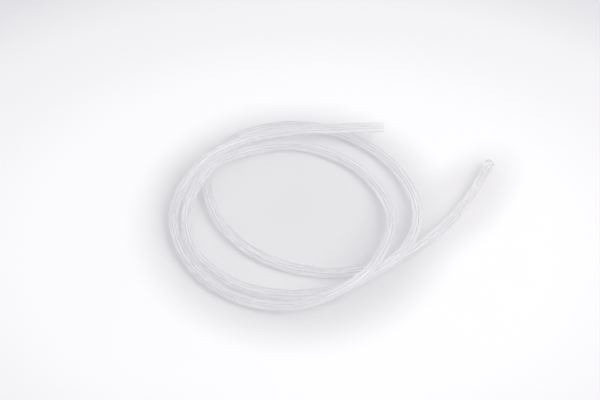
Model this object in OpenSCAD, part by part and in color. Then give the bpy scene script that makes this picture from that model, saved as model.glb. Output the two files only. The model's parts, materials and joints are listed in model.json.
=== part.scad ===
// Coil of soft silicone tubing: one length of round tube, laid flat in loose turns, with both ends cut square.
// It lies on the plane z = 0, and the origin is under the middle of its box.
// The turns are laid out in lanes and layers. Lane 0 is a circle, and each lane further out is one strand wider.
// Layer 0 lies on the plane, and layer 1 rests on a strand in layer 0.

/* [Tube] */
// Outside diameter of the tube
tube_od = 5; // [4.5:0.25:7]
// Bore of the tube
tube_bore = 1; // [0.75:0.25:2.5]

/* [Coil] */
// Radius of lane 0, to the middle of the tube
coil_r = 50; // [46:1:60]
// Clear gap between strands that lie side by side or cross
strand_gap = 0.3; // [0.25:0.05:1]

/* [Ends] */
// Length of the straight stretch at each cut end
end_len = 12; // [8:1:15]

/* [Hidden] */

// Distance between the middles of two strands that touch, with the gap
pitch = tube_od + strand_gap;

// The coil has a station every 30 degrees, and turns clockwise as seen from above
station_step = 30;

// Lane at each station, one row for each turn
LANES = [
    1.6, -1.1, -2.7, -3.3, -3.1, -2.0, 0.1, 1.8, 2.0, 1.7, 1.6, 1.8,
    1.7, 0.9, 0.4, 0.6, 0.8, 0.5, -0.2, -0.6, -0.8, -1.2, -1.2, -0.8,
    0.1, 1.6, 2.0, 1.9, 1.8, 1.7, 0.9, 0.2, 0.2
];

// Layer at each station, which is 1 or more where the strand crosses over an earlier one
LAYERS = [
    0, 0, 0, 0, 0, 0, 0, 0, 0, 0, 0, 0.3,
    1.05, 0.5, 0, 0, 0, 0.4, 1.1, 0.35, 0.1, 0, 0, 0.4,
    1.5, 1.75, 0.5, 0, 0, 0.2, 1.1, 1.15, 1.1
];

// Free ends as [angle, lane, layer]: the point that the straight stretch aims at, its inner end, and the way there
RIGHT_END = [[24, 11.4, 0], [14, 8.5, 0], [-2, 5.1, 0]];
TOP_END = [[-1006, 0.8, 1.1], [-1022, 2.2, 1.25], [-1034, 4.2, 1.4]];

// Rings of the swept skin between two stations, and sides of each ring
rings_per_station = 3;
ring_sides = 12;

// The swept skin keeps this share inside the wall of the round ends, and reaches this far into them
skin_inset = 0.002;
end_overlap = 1;

cut_margin = 1;
smooth_fn = 64;
silicone = [0.93, 0.93, 0.95];

// Place of one point of the route, from its angle, lane and layer
function place(angle, lane, layer) =
    let (r = coil_r + lane * pitch)
    [r * cos(angle), r * sin(angle), tube_od / 2 + layer * pitch];

// Points that the tube passes through, from the right-hand end to the top end
stations = concat(
    [for (p = RIGHT_END) place(p[0], p[1], p[2])],
    [for (i = [0 : len(LANES) - 1]) place(-station_step * (i + 1), LANES[i], LAYERS[i])],
    [for (p = TOP_END) place(p[0], p[1], p[2])]
);
span_count = len(stations) - 3;

// Smooth curve through the stations, which never sinks into the plane that the tube lies on
function curve(a, b, c, d, t) =
    0.5 * (2 * b + (c - a) * t + (2 * a - 5 * b + 4 * c - d) * t * t + (3 * b - a - 3 * c + d) * t * t * t);
function lifted(p) = [p.x, p.y, max(p.z, tube_od / 2)];
function route_point(i, t) = lifted(curve(stations[i], stations[i + 1], stations[i + 2], stations[i + 3], t));
function unit(v) = v / norm(v);

bend = concat(
    [for (i = [0 : span_count - 1], k = [0 : rings_per_station - 1]) route_point(i, k / rings_per_station)],
    [route_point(span_count - 1, 1)]
);

// Directions out of the two ends
right_dir = unit(stations[0] - stations[2]);
top_dir = unit(stations[span_count + 2] - stations[span_count]);

// Middles and directions of all the rings of the skin, which starts and ends inside the straight stretches
last = len(bend) - 1;
ring_middles = concat([bend[0] + right_dir * end_overlap], bend, [bend[last] + top_dir * end_overlap]);
ring_dirs = concat(
    [-right_dir, -right_dir],
    [for (i = [1 : last - 1]) unit(bend[i + 1] - bend[i - 1])],
    [top_dir, top_dir]
);

// One ring of the skin, square to the tube
function ring(middle, dir, radius) =
    let (side = unit(cross(dir, [0, 0, 1])), up = cross(side, dir))
    [for (k = [0 : ring_sides - 1])
        let (a = 360 * k / ring_sides)
        middle + radius * (cos(a) * side + sin(a) * up)];

outer_r = tube_od / 2 * (1 - skin_inset);
inner_r = tube_bore / 2 * (1 + skin_inset) / cos(180 / ring_sides);
ring_count = len(ring_middles);
outer_skin = [for (i = [0 : ring_count - 1]) each ring(ring_middles[i], ring_dirs[i], outer_r)];
inner_skin = [for (i = [0 : ring_count - 1]) each ring(ring_middles[i], ring_dirs[i], inner_r)];

// Triangles between two rows of ring points that start at a and b
function band(a, b) = [
    for (k = [0 : ring_sides - 1])
        let (n = (k + 1) % ring_sides)
        each [[a + k, b + n, b + k], [a + k, a + n, b + n]]
];
inner_start = ring_count * ring_sides;
final_ring = (ring_count - 1) * ring_sides;
skin_faces = concat(
    [for (i = [0 : ring_count - 2]) each band(i * ring_sides, (i + 1) * ring_sides)],
    [for (i = [0 : ring_count - 2]) each band(inner_start + (i + 1) * ring_sides, inner_start + i * ring_sides)],
    band(inner_start, 0),
    band(final_ring, inner_start + final_ring)
);

// Box of the whole tube, with the round rims of its two ends
right_tip = bend[0] + right_dir * end_len;
top_tip = bend[last] + top_dir * end_len;
function rim(tip, dir) =
    let (reach = [for (k = [0 : 2]) tube_od / 2 * sqrt(1 - dir[k] * dir[k])])
    [tip - reach, tip + reach];
corners = concat(outer_skin, rim(right_tip, right_dir), rim(top_tip, top_dir));
function middle_of(axis) =
    (min([for (p = corners) p[axis]]) + max([for (p = corners) p[axis]])) / 2;
box_middle = [middle_of(0), middle_of(1), 0];

module cut_end(joint, dir) {
    translate(joint)
        rotate([0, acos(dir.z), atan2(dir.y, dir.x)])
            difference() {
                cylinder(d = tube_od, h = end_len, $fn = smooth_fn);
                translate([0, 0, -cut_margin])
                    cylinder(d = tube_bore, h = end_len + 2 * cut_margin, $fn = smooth_fn);
            }
}

module tube() {
    color(silicone)
        translate(-box_middle)
            union() {
                polyhedron(points = concat(outer_skin, inner_skin), faces = skin_faces);
                cut_end(bend[0], right_dir);
                cut_end(bend[last], top_dir);
            }
}

tube();
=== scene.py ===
# Scene for a coil of soft, milky silicone tube on a pale surface, in metres, in the part's own frame.
import json
import math

import bpy
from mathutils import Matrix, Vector


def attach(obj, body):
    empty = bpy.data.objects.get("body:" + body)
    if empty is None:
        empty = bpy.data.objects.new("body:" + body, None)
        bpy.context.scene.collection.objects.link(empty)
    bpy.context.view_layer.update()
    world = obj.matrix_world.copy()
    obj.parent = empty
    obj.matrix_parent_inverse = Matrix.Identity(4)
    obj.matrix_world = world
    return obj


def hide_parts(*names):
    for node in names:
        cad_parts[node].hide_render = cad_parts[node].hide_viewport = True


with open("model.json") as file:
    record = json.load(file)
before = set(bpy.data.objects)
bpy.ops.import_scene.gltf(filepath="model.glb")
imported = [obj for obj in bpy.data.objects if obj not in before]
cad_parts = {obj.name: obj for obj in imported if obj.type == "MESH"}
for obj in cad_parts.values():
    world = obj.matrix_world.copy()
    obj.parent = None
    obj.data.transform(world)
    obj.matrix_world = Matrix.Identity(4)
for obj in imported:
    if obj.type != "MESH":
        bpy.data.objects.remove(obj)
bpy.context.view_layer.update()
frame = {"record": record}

MM = 0.001

# Tube
TUBE_OD = 5 * MM
TUBE_BORE = 1 * MM
END_LEN = 12 * MM

# Coil
COIL_R = 50 * MM
STRAND_GAP = 0.3 * MM
PITCH = TUBE_OD + STRAND_GAP
STATION_STEP = 30

# Lane and layer at each station, one row for each turn
LANES = [
    1.6, -1.1, -2.7, -3.3, -3.1, -2.0, 0.1, 1.8, 2.0, 1.7, 1.6, 1.8,
    1.7, 0.9, 0.4, 0.6, 0.8, 0.5, -0.2, -0.6, -0.8, -1.2, -1.2, -0.8,
    0.1, 1.6, 2.0, 1.9, 1.8, 1.7, 0.9, 0.2, 0.2,
]
LAYERS = [
    0, 0, 0, 0, 0, 0, 0, 0, 0, 0, 0, 0.3,
    1.05, 0.5, 0, 0, 0, 0.4, 1.1, 0.35, 0.1, 0, 0, 0.4,
    1.5, 1.75, 0.5, 0, 0, 0.2, 1.1, 1.15, 1.1,
]

# Free ends as (angle, lane, layer): the point that the cut end aims at, its inner end, and the way there
RIGHT_END = [(24, 11.4, 0), (14, 8.5, 0), (-2, 5.1, 0)]
TOP_END = [(-1006, 0.8, 1.1), (-1022, 2.2, 1.25), (-1034, 4.2, 1.4)]

# Mesh of the tube
RINGS_PER_STATION = 10
END_RINGS = 5
RING_SIDES = 80
RIM_ROUND = 0.18 * MM
RIM_STEPS = 3

# Camera: the point that it looks at on the surface, from the middle of lane 0, and where it stands from there
AIM_FROM_COIL = (2.4 * MM, 10.8 * MM, 0)
VIEW_ELEVATION = 47
VIEW_DISTANCE = 822 * MM
LENS_MM = 100
SENSOR_MM = 36

# Silicone: its skin at its dullest and clearest, and the milk in its wall
SILICONE_DULL = (0.962, 0.96, 0.968)
SILICONE_CLEAR = (0.97, 0.968, 0.976)
SILICONE_ROUGHNESS = (0.04, 0.08)
SILICONE_IOR = 1.41
SILICONE_TRANSMISSION = 0.98
MILK_COLOUR = (0.965, 0.96, 0.992)
MILK_DENSITY = 230

# Patterns in the skin: their scale across and along the tube, their detail, and the height of the lines
HAZE_SCALE = (150, 150, 20)
HAZE_DETAIL = 2.0
LINES_SCALE = (1800, 1800, 12)
LINES_DETAIL = 3.0
LINES_HEIGHT = 0.02 * MM
LINES_STRENGTH = 0.002

# Surface under the coil
FLOOR_HALF = 3.0
FLOOR_ROUGHNESS = 0.7
FLOOR_SPECULAR = 0.2

# Its tones, with painted shade that darkens it far out: their middle from the coil's, how far they reach each
# way, and each tone from the middle outwards
FLOOR_MIDDLE = (0, -8 * MM)
FLOOR_REACH = (285 * MM, 228 * MM)
FLOOR_TONES_WITH_PAINTED_FALLOFF = [
    (0.0, (0.91, 0.908, 0.908)),
    (0.42, (0.91, 0.908, 0.908)),
    (0.7, (0.845, 0.838, 0.845)),
    (1.0, (0.71, 0.702, 0.72)),
]

# Pools of painted shade on it, around the coil and along the right-hand end: middle from the coil's, half
# sizes, turn in degrees, share that is full, and tone
COIL_PAINTED_SHADE = ((0, -2 * MM), (86 * MM, 88 * MM), 0, 0.67, (0.716, 0.711, 0.721))
# Painted shade along the right-hand free end
END_PAINTED_SHADE = ((81 * MM, 9 * MM), (56 * MM, 27 * MM), 55, 0.35, (0.785, 0.776, 0.776))

# Sky at the horizon and overhead, and the height where it is full
SKY_LOW = (0.26, 0.26, 0.28)
SKY_HIGH = (0.965, 0.971, 1.0)
SKY_FULL = 0.6
SKY_STRENGTH = 0.935

# Key light, where azimuth 0 is at +X and 90 at +Y
KEY_AZIMUTH = -26
KEY_ELEVATION = 45
KEY_DISTANCE = 2.4
KEY_SIZE = 1.9
KEY_POWER = 24
KEY_COLOUR = (1.0, 0.966, 0.93)


def place(angle, lane, layer):
    """Point of the route from its angle, lane and layer."""
    r = COIL_R + lane * PITCH
    turn = math.radians(angle)
    return Vector((r * math.cos(turn), r * math.sin(turn), TUBE_OD / 2 + layer * PITCH))


def curve_point(a, b, c, d, t):
    """Point of a smooth curve between b and c, kept on or above the surface."""
    p = 0.5 * (2 * b + (c - a) * t + (2 * a - 5 * b + 4 * c - d) * t**2 + (3 * b - a - 3 * c + d) * t**3)
    p.z = max(p.z, TUBE_OD / 2)
    return p


def coil_route():
    """Middles of the rings from the right-hand end to the top end, and the direction out of the first."""
    stations = [place(*p) for p in RIGHT_END]
    stations += [place(-STATION_STEP * (i + 1), *at) for i, at in enumerate(zip(LANES, LAYERS))]
    stations += [place(*p) for p in TOP_END]
    bend = []
    for i in range(len(stations) - 3):
        for k in range(RINGS_PER_STATION):
            bend.append(curve_point(*stations[i:i + 4], k / RINGS_PER_STATION))
    bend.append(stations[-2])
    right_out = (stations[0] - stations[2]).normalized()
    top_out = (stations[-1] - stations[-3]).normalized()
    steps = [END_LEN * (k + 1) / END_RINGS for k in range(END_RINGS)]
    right_end = [bend[0] + right_out * s for s in reversed(steps)]
    top_end = [bend[-1] + top_out * s for s in steps]
    return right_end + bend + top_end, right_out


def route_in_frame():
    """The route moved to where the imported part's right-hand mount is, and the middle of lane 0."""
    route, right_out = coil_route()
    mount = next(m for m in frame["record"]["mounts"] if m["name"] == "right_end")
    mount_point = route[0] - right_out * END_LEN / 2
    coil_middle = Vector(mount["pos_m"]) - mount_point
    return [p + coil_middle for p in route], coil_middle


def ring_points(middle, along, radius):
    """Points of one ring, square to the tube, starting at its underside."""
    side = along.cross(Vector((0, 0, 1))).normalized()
    up = side.cross(along)
    points = []
    for k in range(RING_SIDES):
        turn = 2 * math.pi * k / RING_SIDES - math.pi / 2
        points.append(middle + radius * (math.cos(turn) * side + math.sin(turn) * up))
    return points


def rim_rings(tip, out, along, distance):
    """Rings over a cut end, from the outside to the bore, with both edges slightly rounded."""
    rings = []
    arc = [math.pi / 2 * k / RIM_STEPS for k in range(RIM_STEPS + 1)]
    for turn in arc:
        radius = TUBE_OD / 2 - RIM_ROUND * (1 - math.cos(turn))
        rings.append((tip + out * RIM_ROUND * (math.sin(turn) - 1), along, radius, distance))
    for turn in reversed(arc):
        radius = TUBE_BORE / 2 + RIM_ROUND * (1 - math.cos(turn))
        rings.append((tip + out * RIM_ROUND * (math.sin(turn) - 1), along, radius, distance))
    return rings


def tube_rings(route):
    """All the tube's rings, out along its outside and back along its bore.

    Each is given as its middle, its direction, its radius and its distance along the tube.
    """
    last = len(route) - 1
    alongs = [(route[min(i + 1, last)] - route[max(i - 1, 0)]).normalized() for i in range(last + 1)]
    travelled = [0.0]
    for a, b in zip(route, route[1:]):
        travelled.append(travelled[-1] + (b - a).length)
    body = range(1, last)
    rings = [(route[i], alongs[i], TUBE_OD / 2, travelled[i]) for i in body]
    rings += rim_rings(route[last], alongs[last], alongs[last], travelled[last])
    rings += [(route[i], alongs[i], TUBE_BORE / 2, travelled[i]) for i in reversed(body)]
    rings += reversed(rim_rings(route[0], -alongs[0], alongs[0], travelled[0]))
    return rings


def tube_piece(route):
    """The whole tube as one closed hollow mesh, with a skin attribute for its material."""
    rings = tube_rings(route)
    points, skin, faces = [], [], []
    for i, (middle, along, radius, distance) in enumerate(rings):
        points += ring_points(middle, along, radius)
        a = i * RING_SIDES
        b = (i + 1) % len(rings) * RING_SIDES
        for k in range(RING_SIDES):
            turn = 2 * math.pi * k / RING_SIDES
            skin.append((radius * math.cos(turn), radius * math.sin(turn), distance))
            n = (k + 1) % RING_SIDES
            faces.append((a + k, b + k, b + n, a + n))

    mesh = bpy.data.meshes.new("silicone_tube")
    mesh.from_pydata(points, [], faces)
    mesh.polygons.foreach_set("use_smooth", [True] * len(faces))
    layer = mesh.attributes.new("skin", "FLOAT_VECTOR", "POINT")
    layer.data.foreach_set("vector", [x for v in skin for x in v])
    mesh.update()
    piece = bpy.data.objects.new("silicone_tube", mesh)
    bpy.context.scene.collection.objects.link(piece)
    return piece


def add_node(tree, kind, **inputs):
    """New shader node with its named inputs set, or linked where a socket is given."""
    node = tree.nodes.new(kind)
    for name, value in inputs.items():
        socket = node.inputs[name.replace("_", " ")]
        if isinstance(value, bpy.types.NodeSocket):
            tree.links.new(value, socket)
        else:
            socket.default_value = value
    return node


def new_material(name):
    """Empty node material with its Principled shader already linked to the output."""
    material = bpy.data.materials.new(name)
    material.use_nodes = True
    tree = material.node_tree
    tree.nodes.clear()
    shader = tree.nodes.new("ShaderNodeBsdfPrincipled")
    output = tree.nodes.new("ShaderNodeOutputMaterial")
    tree.links.new(shader.outputs["BSDF"], output.inputs["Surface"])
    return material, tree, shader


def noise(tree, vector, scale, detail):
    """Noise texture over a vector that is stretched by scale."""
    mapping = add_node(tree, "ShaderNodeMapping", Vector=vector, Scale=scale)
    node = add_node(tree, "ShaderNodeTexNoise", Vector=mapping.outputs["Vector"], Scale=1.0, Detail=detail)
    return node.outputs["Fac"]


def span(tree, value, low, high):
    """Maps a noise value to a range."""
    node = add_node(tree, "ShaderNodeMapRange", Value=value, To_Min=low, To_Max=high)
    return node.outputs["Result"]


def blend(tree, factor, low, high):
    """Colour that goes from low, a colour or a socket, to high with a factor."""
    node = add_node(tree, "ShaderNodeMix")
    node.data_type = "RGBA"
    colours = [socket for socket in node.inputs if socket.type == "RGBA"]
    if isinstance(low, bpy.types.NodeSocket):
        tree.links.new(low, colours[0])
    else:
        colours[0].default_value = (*low, 1)
    colours[1].default_value = (*high, 1)
    tree.links.new(factor, node.inputs["Factor"])
    return next(socket for socket in node.outputs if socket.type == "RGBA")


def silicone_material():
    """Milky, see-through silicone: a clear skin over a wall that scatters light, with faint drawing lines."""
    material, tree, shader = new_material("silicone")
    skin = add_node(tree, "ShaderNodeAttribute")
    skin.attribute_name = "skin"
    vector = skin.outputs["Vector"]

    haze = noise(tree, vector, HAZE_SCALE, HAZE_DETAIL)
    tree.links.new(blend(tree, haze, SILICONE_DULL, SILICONE_CLEAR), shader.inputs["Base Color"])
    tree.links.new(span(tree, haze, *SILICONE_ROUGHNESS), shader.inputs["Roughness"])
    lines = noise(tree, vector, LINES_SCALE, LINES_DETAIL)
    bump = add_node(tree, "ShaderNodeBump", Height=lines, Strength=LINES_STRENGTH, Distance=LINES_HEIGHT)
    tree.links.new(bump.outputs["Normal"], shader.inputs["Normal"])
    shader.inputs["IOR"].default_value = SILICONE_IOR
    shader.inputs["Transmission Weight"].default_value = SILICONE_TRANSMISSION

    milk = add_node(tree, "ShaderNodeVolumeScatter", Color=(*MILK_COLOUR, 1), Density=MILK_DENSITY)
    tree.links.new(milk.outputs["Volume"], tree.nodes["Material Output"].inputs["Volume"])
    return material


def reach_from(tree, middle, sizes, turn):
    """Distance on the surface from a middle, as a share of the half sizes each way."""
    where = add_node(tree, "ShaderNodeNewGeometry")
    scaled = add_node(tree, "ShaderNodeMapping", Vector=where.outputs["Position"], Location=(*middle, 0),
                      Rotation=(0, 0, math.radians(turn)), Scale=(*sizes, 1))
    scaled.vector_type = "TEXTURE"
    reach = add_node(tree, "ShaderNodeVectorMath")
    reach.operation = "LENGTH"
    tree.links.new(scaled.outputs["Vector"], reach.inputs[0])
    return reach.outputs["Value"]


def add_painted_shade(tree, colour, coil_middle, painted_shade):
    """Colour with one pool of painted shade blended in."""
    (x, y), sizes, turn, full, tone = painted_shade
    reach = reach_from(tree, (coil_middle.x + x, coil_middle.y + y), sizes, turn)
    fade = add_node(tree, "ShaderNodeMapRange", Value=reach,
                    From_Min=full, From_Max=1.0, To_Min=1.0, To_Max=0.0)
    fade.interpolation_type = "SMOOTHSTEP"
    return blend(tree, fade.outputs["Result"], colour, tone)


def floor_material(coil_middle):
    """Pale plain surface with painted shade: a little darker around the coil and far away than between."""
    material, tree, shader = new_material("pale_surface")
    middle = (coil_middle.x + FLOOR_MIDDLE[0], coil_middle.y + FLOOR_MIDDLE[1])
    # Painted shade: the ramp darkens the surface far out from the coil
    ramp = add_node(tree, "ShaderNodeValToRGB", Fac=reach_from(tree, middle, FLOOR_REACH, 0))
    ramp.color_ramp.interpolation = "EASE"
    stops = ramp.color_ramp.elements
    stops[1].position = FLOOR_TONES_WITH_PAINTED_FALLOFF[-1][0]
    for at, _ in FLOOR_TONES_WITH_PAINTED_FALLOFF[1:-1]:
        stops.new(at)
    for stop, (_, tone) in zip(stops, FLOOR_TONES_WITH_PAINTED_FALLOFF):
        stop.color = (*tone, 1)
    colour = ramp.outputs["Color"]
    # Pools of painted shade, along the right-hand end and around the coil
    for painted_shade in (END_PAINTED_SHADE, COIL_PAINTED_SHADE):
        colour = add_painted_shade(tree, colour, coil_middle, painted_shade)
    tree.links.new(colour, shader.inputs["Base Color"])
    shader.inputs["Roughness"].default_value = FLOOR_ROUGHNESS
    shader.inputs["Specular IOR Level"].default_value = FLOOR_SPECULAR
    return material


def add_floor(coil_middle):
    """Large flat surface that the coil lies on."""
    mesh = bpy.data.meshes.new("floor")
    corners = [(x * FLOOR_HALF, y * FLOOR_HALF, 0) for x, y in ((-1, -1), (1, -1), (1, 1), (-1, 1))]
    mesh.from_pydata(corners, [], [(0, 1, 2, 3)])
    mesh.materials.append(floor_material(coil_middle))
    floor = bpy.data.objects.new("floor", mesh)
    bpy.context.scene.collection.objects.link(floor)


def add_camera(coil_middle):
    """Camera at the photograph's height and distance, looking along +Y and down."""
    aim = coil_middle + Vector(AIM_FROM_COIL)
    lift = math.radians(VIEW_ELEVATION)
    data = bpy.data.cameras.new("camera")
    data.lens = LENS_MM
    data.sensor_width = SENSOR_MM
    camera = bpy.data.objects.new("camera", data)
    camera.location = aim + VIEW_DISTANCE * Vector((0, -math.cos(lift), math.sin(lift)))
    camera.rotation_euler = (math.pi / 2 - lift, 0, 0)
    bpy.context.scene.collection.objects.link(camera)
    bpy.context.scene.camera = camera


def add_key_light(coil_middle):
    """Soft square light that faces the coil from the front right."""
    turn = math.radians(KEY_AZIMUTH)
    lift = math.radians(KEY_ELEVATION)
    out = Vector((math.cos(turn) * math.cos(lift), math.sin(turn) * math.cos(lift), math.sin(lift)))
    data = bpy.data.lights.new("key", "AREA")
    data.size = KEY_SIZE
    data.energy = KEY_POWER
    data.color = KEY_COLOUR
    light = bpy.data.objects.new("key", data)
    light.location = coil_middle + out * KEY_DISTANCE
    light.rotation_euler = (-out).to_track_quat("-Z", "Y").to_euler()
    bpy.context.scene.collection.objects.link(light)


def add_sky():
    """Bright soft sky, paler overhead than at the horizon."""
    world = bpy.data.worlds.new("world")
    world.use_nodes = True
    tree = world.node_tree
    where = add_node(tree, "ShaderNodeTexCoord")
    height = add_node(tree, "ShaderNodeSeparateXYZ", Vector=where.outputs["Generated"])
    fade = add_node(tree, "ShaderNodeMapRange", Value=height.outputs["Z"], From_Min=0.0, From_Max=SKY_FULL)
    fade.interpolation_type = "SMOOTHSTEP"
    background = tree.nodes["Background"]
    tree.links.new(blend(tree, fade.outputs["Result"], SKY_LOW, SKY_HIGH), background.inputs["Color"])
    background.inputs["Strength"].default_value = SKY_STRENGTH
    bpy.context.scene.world = world


def set_tone():
    """Plain colour rendering, with its grain smoothed and enough bounces for a milky, see-through wall."""
    scene = bpy.context.scene
    scene.view_settings.view_transform = "Standard"
    scene.cycles.use_denoising = True
    scene.cycles.blur_glossy = 0
    scene.cycles.max_bounces = 32
    scene.cycles.diffuse_bounces = 16
    scene.cycles.glossy_bounces = 16
    scene.cycles.transmission_bounces = 32
    scene.cycles.volume_bounces = 24


route, coil_middle = route_in_frame()
add_camera(coil_middle)
tube = tube_piece(route)
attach(tube, "root")
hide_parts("tube")
tube.data.materials.append(silicone_material())
add_floor(coil_middle)
add_sky()
add_key_light(coil_middle)
set_tone()
